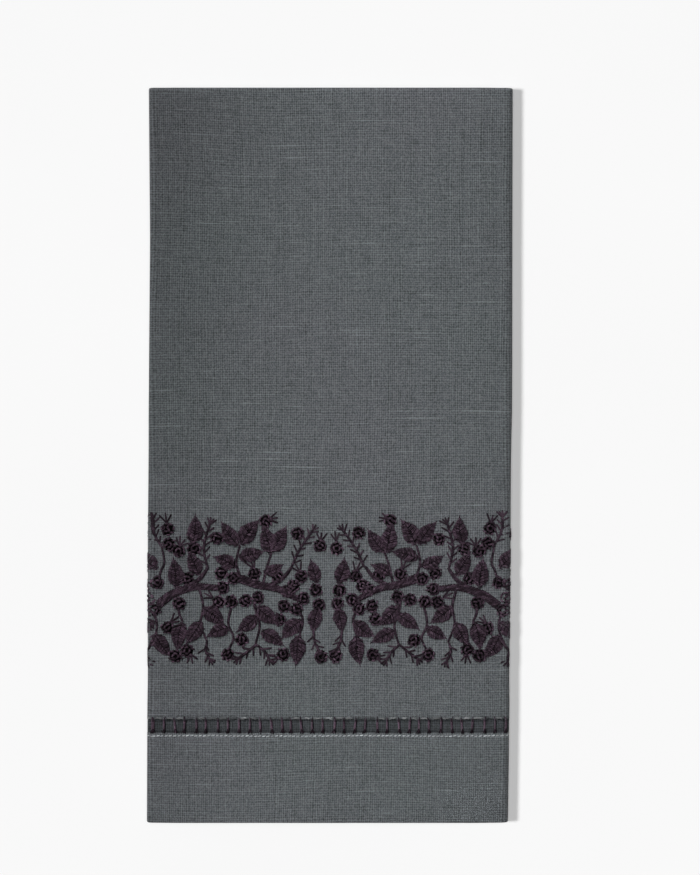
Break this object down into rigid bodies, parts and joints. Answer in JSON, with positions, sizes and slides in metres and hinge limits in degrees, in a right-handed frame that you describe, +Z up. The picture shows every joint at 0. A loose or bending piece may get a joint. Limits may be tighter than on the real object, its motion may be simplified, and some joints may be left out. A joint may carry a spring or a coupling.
{
  "type": "folded hemstitched guest towel",
  "caption": "Linen guest towel with an embroidered berry border and a ladder hemstitch, folded in half and in thirds, lying flat.",
  "frame": {"origin": "centre of the folded towel's footprint, on the surface that it lies on", "axes": "+Z up out of the embroidered face, +Y along the towel from the front hem to the top fold, +X across it to the right as seen from above"},
  "size_m": [0.127, 0.255, 0.0075],
  "materials": {
    "slate_linen": "plain-weave linen, matt, slightly slubbed",
    "plum_thread": "stranded embroidery cotton, soft sheen",
    "pale_thread": "fine pale linen sewing thread, matt"
  },
  "bodies": {
    "root": {"towel_cloth": "slate_linen"}
  },
  "joints": []
}
